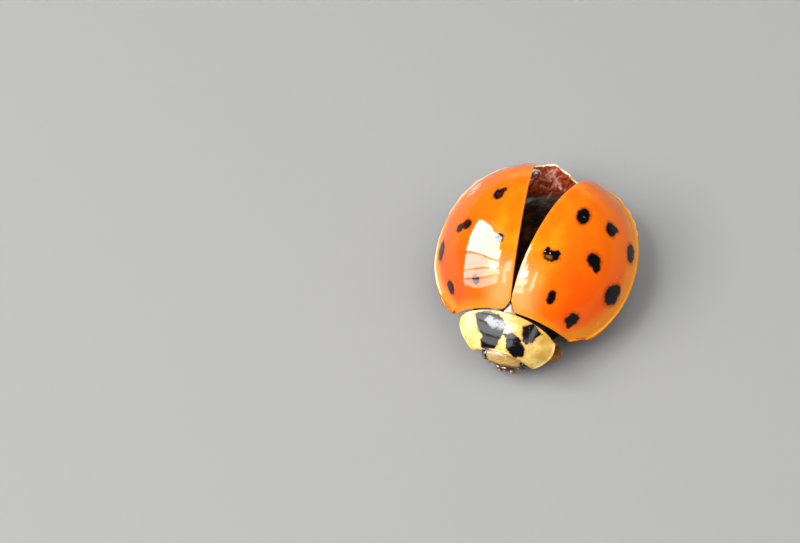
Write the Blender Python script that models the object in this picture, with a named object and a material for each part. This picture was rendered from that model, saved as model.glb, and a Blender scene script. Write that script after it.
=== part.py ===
"""A ladybird at life size, standing low on six tucked legs with its wing cases sprung a little open.

Its head faces -Y, its left side is +X, and the floor under its feet is z = 0.
"""

import math

import bmesh
import bpy
from mathutils import Matrix, Vector

MM = 0.001

# Clear space between neighbouring plates, and the least distance that merges two points.
GAP = 0.04 * MM
WELD = 0.001 * MM

# The rim of the closed wing cases is level, this far above the floor.
RIM_HEIGHT = 0.95 * MM

# The two wing cases together are one dome, egg-shaped from above and cut across at the shoulders.
CASE_WIDTH = 5.70 * MM
CASE_FRONT = 2.82 * MM
CASE_REAR = 3.60 * MM
CASE_CROWN = 2.65 * MM
CASE_WALL = 0.46 * MM
CASE_FULLNESS = 2.24
CASE_STEEPNESS = 0.62
CASE_BASE_Y = -1.97 * MM
NOTCH_DEPTH = 0.30 * MM
NOTCH_HALF_WIDTH = 0.24 * MM
BASE_SLANT = -0.09
SHOULDER_X = 1.85 * MM
SHOULDER_LENGTH = 0.62 * MM
FLANGE_WIDTH = 0.045
FLANGE_RISE = 0.17 * MM

# How far each wing case has swung about its front inner corner, in degrees.
SWING_OUT = {"left": 9.3, "right": 8.4}
SWING_UP = {"left": 4.5, "right": 7.2}
ROLL_IN = {"left": 2.8, "right": 6.9}

# Pronotum: the shield over the front of the trunk.
SHIELD_REAR_WIDTH = 3.30 * MM
SHIELD_WIDTH = 3.34 * MM
SHIELD_FRONT_WIDTH = 2.04 * MM
SHIELD_REAR_Y = -2.33 * MM
SHIELD_FRONT_Y = -3.47 * MM
SHIELD_REAR_Z = 1.56 * MM
SHIELD_FRONT_Z = 0.80 * MM
SHIELD_REAR_SIDE_Z = 0.99 * MM
SHIELD_FRONT_SIDE_Z = 0.04 * MM
SHIELD_REAR_SWEEP = 0.33 * MM
SHIELD_ARCH = 0.36 * MM
SHIELD_WIDEST = 0.2
SHIELD_WALL = 0.34 * MM

# The shield is turned a little to the right, in degrees, about its middle, and set a little left.
SHIELD_TURN = -4.2
SHIELD_MIDDLE = Vector((0.0, -2.8, 0.0)) * MM
SHIELD_SHIFT = Vector((0.05, 0.0, 0.0)) * MM

# Collar: the front ring of the thorax, under the pronotum, which carries the front legs.
COLLAR_HALF_WIDTH = 1.12 * MM
COLLAR_REAR_Z = 1.08 * MM
COLLAR_FRONT_Z = 0.88 * MM

# Scutellum: the small triangle between the bases of the wing cases.
SCUTELLUM_HALF_WIDTH = 0.20 * MM
SCUTELLUM_FRONT_Z = 1.42 * MM
SCUTELLUM_REAR_Z = 1.56 * MM
SCUTELLUM_WALL = 0.32 * MM

# Head capsule: an ellipsoid whose back is cut off flat at the neck.
HEAD_CENTRE = Vector((0.0, -3.14, 0.14)) * MM
HEAD_RADII = Vector((0.76, 0.50, 0.46)) * MM
NECK_Y = -2.86 * MM

# Pieces seated in the capsule: the middle and the radii of each, with its left one at +X.
SEATED = {
    "eye": (Vector((0.62, -3.22, 0.10)) * MM, Vector((0.20, 0.26, 0.26)) * MM),
    "mandible": (Vector((0.17, -3.50, -0.20)) * MM, Vector((0.14, 0.18, 0.13)) * MM),
}
LABRUM = (Vector((0.0, -3.60, 0.00)) * MM, Vector((0.27, 0.13, 0.10)) * MM)

# Trunk: the hind plates of the thorax and the abdomen share one underside.
TRUNK_HALF_WIDTH = 2.04 * MM
TRUNK_FRONT = 2.72 * MM
TRUNK_REAR = 2.92 * MM
TRUNK_CROWN = 1.22 * MM
TRUNK_FLOOR_Z = 0.02 * MM
KEEL_DEPTH = 0.36 * MM
KEEL_HALF_WIDTH = 0.52 * MM
KEEL_END_Y = 0.1 * MM
BELLY_DEPTH = 0.22 * MM
HIP_X = 0.62 * MM
HIND_LEG_END_Y = 1.9 * MM
THORAX_SPAN = (-2.20 * MM, -0.30 * MM)
ABDOMEN_SPAN = (-0.26 * MM, 2.70 * MM)

# Folded flying wings: a thick fold over the trunk with a crumpled tail behind it.
WING_WALL = 0.46 * MM
WING_SPAN = (-1.60 * MM, 3.86 * MM)
WING_TAIL_Y = {"left": 3.62 * MM, "right": 3.72 * MM}
WING_TAIL_SLANT = {"left": -0.30, "right": 0.16}
WING_ROOT_HALF_WIDTH = 0.60 * MM
WING_HALF_WIDTH = 1.75 * MM
WING_RUFFLE = 0.05 * MM
FOLD_HALF_WIDTH = 2.28 * MM
FOLD_FRONT = 2.45 * MM
FOLD_REAR = 3.05 * MM
FOLD_CROWN = 1.78 * MM
TAIL_Z = 0.54 * MM
TAIL_HALF_WIDTH = 1.5 * MM

# Legs: hip, knee, ankle and toe of each left leg, with z counted from the rim's level.
LEG_POINTS = {
    "fore": ((0.62, -2.62, -0.26), (1.60, -2.74, -0.22), (1.40, -2.10, -0.64), (0.84, -1.68)),
    "mid": ((0.72, -1.20, -0.26), (2.34, -1.06, -0.24), (1.86, -0.36, -0.64), (1.28, 0.06)),
    "hind": ((0.74, -0.10, -0.26), (2.10, 1.02, -0.24), (1.62, 1.78, -0.64), (1.02, 2.24)),
}

# Feelers and palps: points along the left one, and its width at each, in millimetres.
FEELERS = {
    "antenna": (
        ((0.62, -3.46, -0.34), (0.63, -3.42, -0.38), (0.62, -3.26, -0.48), (0.56, -3.08, -0.56),
         (0.54, -3.02, -0.58)),
        (0.20, 0.38, 0.40, 0.42, 0.22),
    ),
    "palp": (
        ((0.16, -3.30, -0.42), (0.17, -3.34, -0.46), (0.20, -3.48, -0.60), (0.21, -3.52, -0.64)),
        (0.16, 0.24, 0.28, 0.18),
    ),
}

FEMUR_WIDTH = 0.50 * MM
TIBIA_WIDTH = 0.46 * MM
TARSUS_WIDTH = 0.46 * MM

# The floor's level, and how high the middle of a foot lies over it, as a share of the foot's width.
FLOOR_Z = -RIM_HEIGHT
SOLE_CUT = 0.34

ORANGE = (0.85, 0.22, 0.01)
CREAM = (0.83, 0.62, 0.25)
BLACK = (0.012, 0.010, 0.010)
RUST = (0.26, 0.07, 0.02)
TAN = (0.45, 0.22, 0.08)


def clear_scene():
    for item in list(bpy.data.objects):
        bpy.data.objects.remove(item, do_unlink=True)


def new_collection(name, hidden=False):
    group = bpy.data.collections.new(name)
    bpy.context.scene.collection.children.link(group)
    group.hide_render = hidden
    return group


def finish(name, colour, roughness):
    """A plain glossy or satin shell colour."""
    material = bpy.data.materials.new(name)
    material.use_nodes = True
    shader = material.node_tree.nodes["Principled BSDF"]
    shader.inputs["Base Color"].default_value = (*colour, 1.0)
    shader.inputs["Roughness"].default_value = roughness
    shader.inputs["Metallic"].default_value = 0.0
    return material


def object_from(mesh_builder, name, group, material=None, parent=None):
    """Turns a bmesh into a named object, with its faces turned outward."""
    bmesh.ops.remove_doubles(mesh_builder, verts=mesh_builder.verts, dist=WELD)
    bmesh.ops.recalc_face_normals(mesh_builder, faces=mesh_builder.faces)
    mesh = bpy.data.meshes.new(name)
    mesh_builder.to_mesh(mesh)
    mesh_builder.free()
    mesh.shade_smooth()
    mesh.set_sharp_from_angle(angle=math.radians(40))
    item = bpy.data.objects.new(name, mesh)
    group.objects.link(item)
    item.parent = parent
    if material:
        mesh.materials.append(material)
    return item


def plate(rows, columns, upper, lower):
    """A closed plate between two surfaces, each a function of two numbers from 0 to 1."""
    mesh = bmesh.new()
    bmesh.ops.create_grid(mesh, x_segments=rows, y_segments=columns, size=0.5)
    spans = {vert: (vert.co.x + 0.5, vert.co.y + 0.5) for vert in mesh.verts}
    raised = bmesh.ops.extrude_face_region(mesh, geom=mesh.faces[:])["geom"]
    copies = [item for item in raised if isinstance(item, bmesh.types.BMVert)]
    for vert in copies:
        vert.co = upper(vert.co.x + 0.5, vert.co.y + 0.5)
    for vert, (along, across) in spans.items():
        vert.co = lower(along, across)
    return mesh


def ellipsoid(centre, radii, segments=20, rings=12):
    mesh = bmesh.new()
    bmesh.ops.create_uvsphere(mesh, u_segments=segments, v_segments=rings, radius=1.0)
    for vert in mesh.verts:
        vert.co = centre + Vector([part * radius for part, radius in zip(vert.co, radii)])
    return mesh


def eased(value):
    """Even steps from 0 to 1, drawn closer together at both ends."""
    return (1 - math.cos(math.pi * value)) / 2


def dome(x, y, half_width, front, rear, crown):
    """Height of an egg-shaped dome over the level of its rim."""
    length = front if y < 0 else rear
    reach = min(1.0, math.hypot(x / half_width, y / length))
    return crown * (1 - reach**CASE_FULLNESS) ** CASE_STEEPNESS


def case_surface(inset):
    """The wing case's outer surface, or with an inset its inner one, from suture to rim."""
    half_width = CASE_WIDTH / 2 - inset
    front = CASE_FRONT - 0.65 * inset
    rear = CASE_REAR - inset
    crown = CASE_CROWN - inset
    shoulder_x = SHOULDER_X - 0.6 * inset

    def surface(along, across):
        y = CASE_BASE_Y + (rear - CASE_BASE_Y) * eased(along)
        length = front if y < 0 else rear
        margin = half_width * math.sqrt(max(0.0, 1 - (y / length) ** 2))
        behind_base = (y - CASE_BASE_Y) / SHOULDER_LENGTH
        if behind_base < 1:
            margin = shoulder_x + (margin - shoulder_x) * math.sqrt(1 - (1 - behind_base) ** 2)
        x = margin * math.sin(across * math.pi / 2)
        fade = (1 - along) ** 3
        y -= fade * (NOTCH_DEPTH * min(1.0, x / NOTCH_HALF_WIDTH) + BASE_SLANT * x)
        z = dome(x, y, half_width * (1 - FLANGE_WIDTH), front * (1 - FLANGE_WIDTH / 2),
                 rear * (1 - FLANGE_WIDTH), crown)
        if inset == 0:
            reach = min(1.0, math.hypot(x / half_width, y / length))
            flange = FLANGE_RISE * min(1.0, (1 - reach) / FLANGE_WIDTH)
            z = (z**6 + flange**6) ** (1 / 6)
        return Vector((x, y, z))

    return surface


def swing(side):
    """Turn of a wing case about its front inner corner, as a matrix in the trunk's frame."""
    sign = 1 if side == "left" else -1
    hinge_z = dome(0, CASE_BASE_Y, CASE_WIDTH / 2, CASE_FRONT, CASE_REAR, CASE_CROWN)
    hinge = Matrix.Translation((sign * 0.1 * MM, CASE_BASE_Y, hinge_z))
    turn = (
        Matrix.Rotation(math.radians(-sign * SWING_OUT[side]), 4, "Z")
        @ Matrix.Rotation(math.radians(SWING_UP[side]), 4, "X")
        @ Matrix.Rotation(math.radians(-sign * ROLL_IN[side]), 4, "Y")
    )
    return hinge @ turn @ hinge.inverted()


def mirrored(mesh):
    bmesh.ops.scale(mesh, vec=(-1, 1, 1), verts=mesh.verts)
    return mesh


def add_wing_cases(group, parent, material):
    for side in ("left", "right"):
        mesh = plate(22, 13, case_surface(0), case_surface(CASE_WALL))
        if side == "right":
            mirrored(mesh)
        bmesh.ops.transform(mesh, matrix=swing(side), verts=mesh.verts)
        object_from(mesh, f"elytron_{side}", group, material, parent)


def shield_half_width(back_to_front):
    if back_to_front < SHIELD_WIDEST:
        loss = 1 - SHIELD_REAR_WIDTH / SHIELD_WIDTH
        return SHIELD_WIDTH / 2 * (1 - loss * (1 - back_to_front / SHIELD_WIDEST) ** 2)
    loss = 1 - SHIELD_FRONT_WIDTH / SHIELD_WIDTH
    beyond = (back_to_front - SHIELD_WIDEST) / (1 - SHIELD_WIDEST)
    return SHIELD_WIDTH / 2 * (1 - loss * beyond**2.1)


def shield_surface(depth, inset=0.0):
    """The pronotum's upper surface, or with a depth the one that lies this far under it."""

    def surface(across, back_to_front):
        half = shield_half_width(back_to_front)
        x = (2 * across - 1) * half * (1 - inset)
        side = abs(x) / (SHIELD_WIDTH / 2)
        rear_y = SHIELD_REAR_Y - SHIELD_REAR_SWEEP * side**2
        reach = inset / 2 + back_to_front * (1 - inset)
        y = rear_y + (SHIELD_FRONT_Y - rear_y) * reach
        ridge = SHIELD_REAR_Z + (SHIELD_FRONT_Z - SHIELD_REAR_Z) * reach
        ridge += SHIELD_ARCH * reach * (1 - reach)
        fall = (1 - (abs(x) / (1.04 * half)) ** 2.4) ** 0.6
        edge = SHIELD_REAR_SIDE_Z + (SHIELD_FRONT_SIDE_Z - SHIELD_REAR_SIDE_Z) * reach
        z = edge + (ridge - edge) * fall
        thin_front = 1 - 0.4 * back_to_front**2
        return Vector((x, y, z - depth * (0.45 + 0.55 * fall) * thin_front))

    return surface


def add_pronotum(group, parent, material):
    mesh = plate(18, 9, shield_surface(0), shield_surface(SHIELD_WALL, inset=0.06))
    turn = Matrix.Rotation(math.radians(SHIELD_TURN), 3, "Z")
    bmesh.ops.rotate(mesh, verts=mesh.verts, cent=SHIELD_MIDDLE, matrix=turn)
    bmesh.ops.translate(mesh, verts=mesh.verts, vec=SHIELD_SHIFT)
    object_from(mesh, "pronotum", group, material, parent)


def add_prothorax(group, parent, material):
    front_y = NECK_Y + GAP
    rear_y = THORAX_SPAN[0] - 5 * GAP

    def underside(across, back_to_front):
        x = (2 * across - 1) * COLLAR_HALF_WIDTH
        y = rear_y + (front_y - rear_y) * back_to_front
        return Vector((x, y, TRUNK_FLOOR_Z - keel_depth(x)))

    def upper(across, back_to_front):
        low = underside(across, back_to_front)
        fall = (1 - (abs(low.x) / (1.3 * COLLAR_HALF_WIDTH)) ** 2) ** 0.5
        crown = COLLAR_REAR_Z + (COLLAR_FRONT_Z - COLLAR_REAR_Z) * back_to_front
        return Vector((low.x, low.y, crown * fall))

    object_from(plate(10, 5, upper, underside), "prothorax", group, material, parent)


def add_scutellum(group, parent, material):
    front_y = SHIELD_REAR_Y + GAP
    rear_y = CASE_BASE_Y - GAP

    def upper(across, front_to_back):
        x = (2 * across - 1) * SCUTELLUM_HALF_WIDTH * (1 - 0.85 * front_to_back)
        y = front_y + (rear_y - front_y) * front_to_back
        slope = SCUTELLUM_FRONT_Z + (SCUTELLUM_REAR_Z - SCUTELLUM_FRONT_Z) * front_to_back
        crown = 0.05 * MM * (1 - (2 * across - 1) ** 2)
        return Vector((x, y, slope + crown))

    def lower(across, front_to_back):
        return upper(across, front_to_back) - Vector((0, 0, SCUTELLUM_WALL))

    object_from(plate(6, 5, upper, lower), "scutellum", group, material, parent)


def fold_height(x, y):
    """Top of the folded flying wings: a dome inside the wing cases that runs out into a flat tail."""
    z = dome(x, y, FOLD_HALF_WIDTH, FOLD_FRONT, FOLD_REAR, FOLD_CROWN)
    tail = TAIL_Z / (1 + (x / TAIL_HALF_WIDTH) ** 2)
    return (z**4 + tail**4) ** 0.25


def keel_depth(x):
    return KEEL_DEPTH * math.exp(-((x / KEEL_HALF_WIDTH) ** 4))


def falling_step(value, place, steepness):
    """Falls smoothly from 1 to 0 as the value passes a place, with the steepness counted per mm."""
    return 1 / (1 + math.exp((value - place) / MM * steepness))


def trunk_half_width(y):
    length = TRUNK_FRONT if y < 0 else TRUNK_REAR
    return TRUNK_HALF_WIDTH * (1 - (abs(y) / length) ** 2.2) ** 0.5


def trunk_underside(x, y):
    """Keeled between the legs in front, evenly rounded behind them."""
    front = falling_step(y, KEEL_END_Y, 5)
    belly = BELLY_DEPTH * (1 - min(1.0, abs(x) / TRUNK_HALF_WIDTH) ** 2)
    if y < HIND_LEG_END_Y:
        belly *= falling_step(abs(x), HIP_X, 18)
    return TRUNK_FLOOR_Z - (front * keel_depth(x) + (1 - front) * belly)


def trunk_surface(span, is_upper):
    def surface(along, across):
        y = span[0] + (span[1] - span[0]) * along
        half = trunk_half_width(y)
        x = half * math.sin((across - 0.5) * math.pi)
        if not is_upper:
            return Vector((x, y, trunk_underside(x, y)))
        fall = (1 - (abs(x) / (1.02 * half)) ** 2.2) ** 0.5
        length = 1.01 * (TRUNK_FRONT if y < 0 else TRUNK_REAR)
        ridge = TRUNK_CROWN * (1 - (abs(y) / length) ** 2.6) ** 0.6
        roof = fold_height(x, y) - WING_WALL - 2.5 * GAP
        z = min(0.12 * MM + ridge * fall, roof)
        return Vector((x, y, max(z, trunk_underside(x, y) + 0.1 * MM)))

    return surface


def add_trunk(group, parent, shell):
    for name, span, rows in (("thorax", THORAX_SPAN, 8), ("abdomen", ABDOMEN_SPAN, 12)):
        mesh = plate(rows, 12, trunk_surface(span, True), trunk_surface(span, False))
        object_from(mesh, name, group, shell, parent)


def wing_half_width(y):
    """Narrow at the root, broad over the trunk, and a little narrower at the crumpled tail."""
    reach = (y - WING_SPAN[0]) / (WING_SPAN[1] - WING_SPAN[0])
    fullest = math.sin(math.pi * min(reach, 0.8) ** 0.9) ** 0.7
    broadening = (WING_HALF_WIDTH - WING_ROOT_HALF_WIDTH) * fullest
    return (WING_ROOT_HALF_WIDTH + broadening) * (1 - 0.35 * reach**16)


def wing_surface(depth, side):
    def surface(along, across):
        widest = wing_half_width(WING_SPAN[0] + (WING_SPAN[1] - WING_SPAN[0]) * along)
        x = GAP / 2 + widest * across
        rear_y = min(WING_SPAN[1], WING_TAIL_Y[side] + WING_TAIL_SLANT[side] * x)
        y = WING_SPAN[0] + (rear_y - WING_SPAN[0]) * along
        ruffle = WING_RUFFLE * math.sin(5 * math.pi * across) * along**4
        return Vector((x, y, fold_height(x, y) + ruffle - depth * (1 - 0.3 * across**4)))

    return surface


def add_flying_wings(group, parent, material):
    for side in ("left", "right"):
        mesh = plate(18, 8, wing_surface(0, side), wing_surface(WING_WALL, side))
        if side == "right":
            mirrored(mesh)
        object_from(mesh, f"wing_{side}", group, material, parent)


def seat(head, name, centre, radii, group, cutters, material, parent):
    """An ellipsoid let into the head, in a socket a little larger than itself."""
    object_from(ellipsoid(centre, radii, 14, 8), name, group, material, parent)
    room = radii + Vector((GAP, GAP, GAP))
    socket = object_from(ellipsoid(centre, room, 14, 8), f"socket_{name}", cutters, None, parent)
    socket.display_type = "WIRE"
    socket.hide_render = True
    carve = head.modifiers.new(f"socket_{name}", "BOOLEAN")
    carve.operation = "DIFFERENCE"
    carve.solver = "EXACT"
    carve.object = socket


def add_head(group, cutters, parent, materials):
    mesh = ellipsoid(HEAD_CENTRE, HEAD_RADII, segments=22, rings=14)
    cut = bmesh.ops.bisect_plane(
        mesh,
        geom=mesh.verts[:] + mesh.edges[:] + mesh.faces[:],
        plane_co=(0, NECK_Y, 0),
        plane_no=(0, 1, 0),
        clear_outer=True,
    )["geom_cut"]
    rim = [item for item in cut if isinstance(item, bmesh.types.BMEdge)]
    bmesh.ops.contextual_create(mesh, geom=rim)
    head = object_from(mesh, "head", group, materials["cream"], parent)
    seat(head, "labrum", *LABRUM, group, cutters, materials["tan"], parent)
    for side, sign in (("left", 1), ("right", -1)):
        for kind, (middle, radii) in SEATED.items():
            centre = Vector((sign * middle.x, middle.y, middle.z))
            seat(head, f"{kind}_{side}", centre, radii, group, cutters, materials["black"], parent)


def add_feelers(group, parent, material):
    """The feelers, laid back under the pronotum, and the palps under the mouth."""
    for kind, (points, widths) in FEELERS.items():
        for side, sign in (("left", 1), ("right", -1)):
            spots = [Vector((sign * x, y, z)) * MM for x, y, z in points]
            sizes = [width * MM for width in widths]
            tube(f"{kind}_{side}", spots, sizes, group, material, parent, sides=8)


def tube(name, points, widths, group, material, parent, flat_bottom=None, sides=10):
    """A round limb through some points, with a width at each, and if asked a flat sole."""
    mesh = bmesh.new()
    spots = [Vector(point) for point in points]
    rings = []
    for index, spot in enumerate(spots):
        ahead = spots[min(index + 1, len(spots) - 1)] - spots[max(index - 1, 0)]
        facing = ahead.to_track_quat("Z", "Y").to_matrix().to_4x4()
        made = bmesh.ops.create_circle(
            mesh, segments=sides, radius=widths[index] / 2, matrix=Matrix.Translation(spot) @ facing
        )
        rings.append(made["verts"])
    for first, second in zip(rings, rings[1:]):
        edges = [edge for ring in (first, second) for vert in ring for edge in vert.link_edges]
        edges = [edge for edge in dict.fromkeys(edges) if edge_in(edge, first) or edge_in(edge, second)]
        bmesh.ops.bridge_loops(mesh, edges=edges)
    bmesh.ops.holes_fill(mesh, edges=mesh.edges[:], sides=sides)
    if flat_bottom is not None:
        for vert in mesh.verts:
            vert.co.z = max(vert.co.z, flat_bottom)
    return object_from(mesh, name, group, material, parent)


def edge_in(edge, ring):
    return edge.verts[0] in ring and edge.verts[1] in ring


def limb_points(start, end, swell, count=5):
    """Points and widths of a limb that is fuller in the middle and rounded at both ends."""
    points, widths = [], []
    for index in range(count + 1):
        reach = eased(index / count)
        points.append(start.lerp(end, reach))
        rounding = math.sqrt(1 - (2 * reach - 1) ** 4)
        widths.append(max(0.35, rounding) * swell)
    return points, widths


def add_legs(group, parent, material):
    for pair, marks in LEG_POINTS.items():
        for side, sign in (("left", 1), ("right", -1)):
            hip, knee, ankle = (Vector((sign * x, y, z)) * MM for x, y, z in marks[:3])
            sole_z = FLOOR_Z + SOLE_CUT * TARSUS_WIDTH
            toe = Vector((sign * marks[3][0] * MM, marks[3][1] * MM, sole_z))
            heel = Vector((ankle.x, ankle.y, sole_z))
            shin_start = knee + (ankle - knee).normalized() * (FEMUR_WIDTH / 2 + GAP)
            foot_start = heel + (toe - heel).normalized() * (TIBIA_WIDTH / 2 + GAP)
            points, widths = limb_points(hip, knee, FEMUR_WIDTH)
            tube(f"femur_{pair}_{side}", points, widths, group, material, parent)
            points, widths = limb_points(shin_start, ankle, TIBIA_WIDTH)
            tube(f"tibia_{pair}_{side}", points, widths, group, material, parent)
            points, widths = limb_points(foot_start, toe, TARSUS_WIDTH, 4)
            tube(f"tarsus_{pair}_{side}", points, widths, group, material, parent, FLOOR_Z)


def stand_on_floor(root, group):
    """Puts the middle of the whole ladybird's box over the origin, with its rim level."""
    bpy.context.view_layer.update()
    corners = [item.matrix_world @ vert.co for item in group.objects if item.type == "MESH"
               for vert in item.data.vertices]
    middle_x = (min(spot.x for spot in corners) + max(spot.x for spot in corners)) / 2
    middle_y = (min(spot.y for spot in corners) + max(spot.y for spot in corners)) / 2
    root.location = (-middle_x, -middle_y, RIM_HEIGHT)


def main():
    clear_scene()
    group = new_collection("ladybird")
    cutters = new_collection("cutters", hidden=True)
    root = bpy.data.objects.new("trunk_centre", None)
    group.objects.link(root)
    materials = {
        "orange": finish("wing_case", ORANGE, 0.18),
        "cream": finish("cream_shell", CREAM, 0.25),
        "black": finish("black_shell", BLACK, 0.25),
        "rust": finish("folded_wing", RUST, 0.35),
        "tan": finish("leg_shell", TAN, 0.35),
    }
    add_wing_cases(group, root, materials["orange"])
    add_pronotum(group, root, materials["cream"])
    add_prothorax(group, root, materials["black"])
    add_scutellum(group, root, materials["black"])
    add_trunk(group, root, materials["black"])
    add_flying_wings(group, root, materials["rust"])
    add_head(group, cutters, root, materials)
    add_feelers(group, root, materials["tan"])
    add_legs(group, root, materials["tan"])
    stand_on_floor(root, group)


main()
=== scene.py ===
import math
import bpy
from mathutils import Matrix, Vector, noise


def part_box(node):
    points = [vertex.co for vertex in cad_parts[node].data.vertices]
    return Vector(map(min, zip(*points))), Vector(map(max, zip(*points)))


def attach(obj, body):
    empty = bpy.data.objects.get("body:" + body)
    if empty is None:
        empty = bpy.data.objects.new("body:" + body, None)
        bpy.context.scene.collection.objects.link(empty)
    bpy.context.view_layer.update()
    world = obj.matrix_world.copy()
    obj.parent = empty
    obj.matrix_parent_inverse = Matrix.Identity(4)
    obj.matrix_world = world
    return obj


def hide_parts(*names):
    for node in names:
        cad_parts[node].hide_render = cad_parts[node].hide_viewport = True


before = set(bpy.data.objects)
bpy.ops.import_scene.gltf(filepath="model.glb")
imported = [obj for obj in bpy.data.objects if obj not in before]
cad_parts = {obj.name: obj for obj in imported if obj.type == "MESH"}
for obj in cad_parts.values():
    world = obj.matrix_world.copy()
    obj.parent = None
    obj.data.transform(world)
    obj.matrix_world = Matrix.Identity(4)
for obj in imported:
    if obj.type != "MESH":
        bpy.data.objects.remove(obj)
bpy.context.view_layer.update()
bpy.ops.object.select_all(action="DESELECT")
print("frame loaded")

mm = 0.001

# Every place below is in mm from the middle of the trunk: x to the ladybird's left, y to its tail,
# z up from the level of the wing cases' rim.
thoraxLow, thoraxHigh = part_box("thorax")
frontOfThorax = -2.20
rimHeight = 0.95
trunk = Vector(((thoraxLow.x + thoraxHigh.x) / 2, thoraxLow.y - frontOfThorax * mm, rimHeight * mm))
signOf = {"left": 1, "right": -1}


def activate(piece):
    bpy.ops.object.select_all(action="DESELECT")
    piece.select_set(True)
    bpy.context.view_layer.objects.active = piece


def rename(piece, name):
    piece.name = piece.data.name = name


def applyModifier(piece, kind, **settings):
    activate(piece)
    modifier = piece.modifiers.new(kind.title(), kind)
    for key, value in settings.items():
        setattr(modifier, key, value)
    bpy.ops.object.modifier_apply(modifier=modifier.name)


def roundOff(piece):
    applyModifier(piece, "SUBSURF", levels=1, render_levels=1)


mergeDistance = 0.002   # mm


# Done while the piece is still in mm.
def mergePoints(piece, turnOut=False):
    activate(piece)
    bpy.ops.object.mode_set(mode="EDIT")
    bpy.ops.mesh.select_all(action="SELECT")
    bpy.ops.mesh.remove_doubles(threshold=mergeDistance)
    if turnOut:
        bpy.ops.mesh.normals_make_consistent(inside=False)
    bpy.ops.object.mode_set(mode="OBJECT")


def joinPieces(pieces, name):
    activate(pieces[0])
    for piece in pieces[1:]:
        piece.select_set(True)
    bpy.ops.object.join()
    rename(pieces[0], name)
    return pieces[0]


def mix(low, high, share):
    return low + (high - low) * share


def smoothStep(value, low, high):
    share = min(1.0, max(0.0, (value - low) / (high - low)))
    return share * share * (3 - 2 * share)


def eased(value):
    return (1 - math.cos(math.pi * value)) / 2


def hump(value, middle, width, height=1.0):
    return height * math.exp(-(((value - middle) / width) ** 2))


# A swelling over a surface, or a hollow where the height is less than 0.
def swelling(x, y, middle, halfSizes, height):
    return hump(x, middle[0], halfSizes[0], height) * hump(y, middle[1], halfSizes[1])


def toStretch(x, y, start, end):
    run = Vector(end) - Vector(start)
    share = min(1.0, max(0.0, (Vector((x, y)) - Vector(start)).dot(run) / run.length_squared))
    return (Vector((x, y)) - Vector(start) - run * share).length


# How far inside an outline a point lies: less than 0 outside it.
def depthInside(x, y, corners):
    inside = False
    nearest = math.inf
    for start, end in zip(corners, corners[1:] + corners[:1]):
        nearest = min(nearest, toStretch(x, y, start, end))
        if (start[1] > y) != (end[1] > y):
            crossing = start[0] + (end[0] - start[0]) * (y - start[1]) / (end[1] - start[1])
            inside = inside != (x < crossing)
    return nearest if inside else -nearest


# spotAt and closed each give a place in mm for two shares from 0 to 1. With closed it is a solid plate.
def addGrid(name, rows, columns, spotAt, closed=None):
    bpy.ops.mesh.primitive_grid_add(x_subdivisions=rows, y_subdivisions=columns, size=1)
    piece = bpy.context.object
    rename(piece, name)
    if closed:
        bpy.ops.object.mode_set(mode="EDIT")
        bpy.ops.mesh.select_all(action="SELECT")
        bpy.ops.mesh.extrude_region_move(TRANSFORM_OT_translate={"value": (0, 0, 1)})
        bpy.ops.object.mode_set(mode="OBJECT")
    for vert in piece.data.vertices:
        shape = closed if closed and vert.co.z < 0.5 else spotAt
        vert.co = Vector(shape(vert.co.x + 0.5, vert.co.y + 0.5))
    if not closed and sum(face.normal.z for face in piece.data.polygons) < 0:
        piece.data.flip_normals()
    return piece


# Stores each point's place in mm, for patterns that follow the shape before it is turned, and other shares.
def keepPlaces(piece, **shares):
    def keep(name, kind, key, valueAt):
        layer = piece.data.attributes.new(name, kind, "POINT")
        for item, vert in zip(layer.data, piece.data.vertices):
            setattr(item, key, valueAt(vert.co))

    keep("place", "FLOAT_VECTOR", "vector", lambda place: place)
    for name, shareAt in shares.items():
        keep(name, "FLOAT", "value", shareAt)


# Gives a sheet its wall, and marks the points of the new inner side.
def thicken(piece, wall, **settings):
    mergePoints(piece)
    outerCount = len(piece.data.vertices)
    applyModifier(piece, "SOLIDIFY", thickness=wall, offset=-1, **settings)
    layer = piece.data.attributes.new("innerShare", "FLOAT", "POINT")
    for index, item in enumerate(layer.data):
        item.value = float(index >= outerCount)


def toFrame(piece, turn=None, mirrored=False):
    matrix = Matrix.Translation(trunk) @ Matrix.Scale(mm, 4)
    if turn:
        matrix = matrix @ turn
    if mirrored:
        matrix = matrix @ Matrix.Scale(-1, 4, (1, 0, 0))
    piece.data.transform(matrix)
    if mirrored:
        piece.data.flip_normals()


# A length of limb made from a sphere, with its half widths along it, flattened and bowed if asked.
def addSpindle(start, end, halfWidths, flat=1.0, bow=0.0, blunt=5.0, up=(0, 0, 1), sides=16, rings=12):
    bpy.ops.mesh.primitive_uv_sphere_add(segments=sides, ring_count=rings, radius=1)
    piece = bpy.context.object
    start, end = Vector(start), Vector(end)
    ahead = (end - start).normalized()
    side = ahead.cross(Vector(up)).normalized()
    lift = side.cross(ahead)
    last = len(halfWidths) - 1
    for vert in piece.data.vertices:
        reach = min(1.0, max(0.0, (1 - vert.co.z) / 2))
        step = min(int(reach * last), last - 1)
        width = mix(halfWidths[step], halfWidths[step + 1], eased(reach * last - step))
        width *= (1 - abs(2 * reach - 1) ** blunt) ** 0.5
        angle = math.atan2(vert.co.y, vert.co.x)
        vert.co = (
            start.lerp(end, reach)
            + side * (math.cos(angle) * width)
            + lift * (math.sin(angle) * width * flat + bow * 4 * reach * (1 - reach))
        )
    return piece


def finishPiece(piece, material, slotName, *nodes, sharpAngle=60):
    piece.data.materials.append(material)
    activate(piece)
    bpy.ops.object.shade_smooth_by_angle(angle=math.radians(sharpAngle))
    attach(piece, "root")
    if nodes:
        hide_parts(*nodes)


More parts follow.
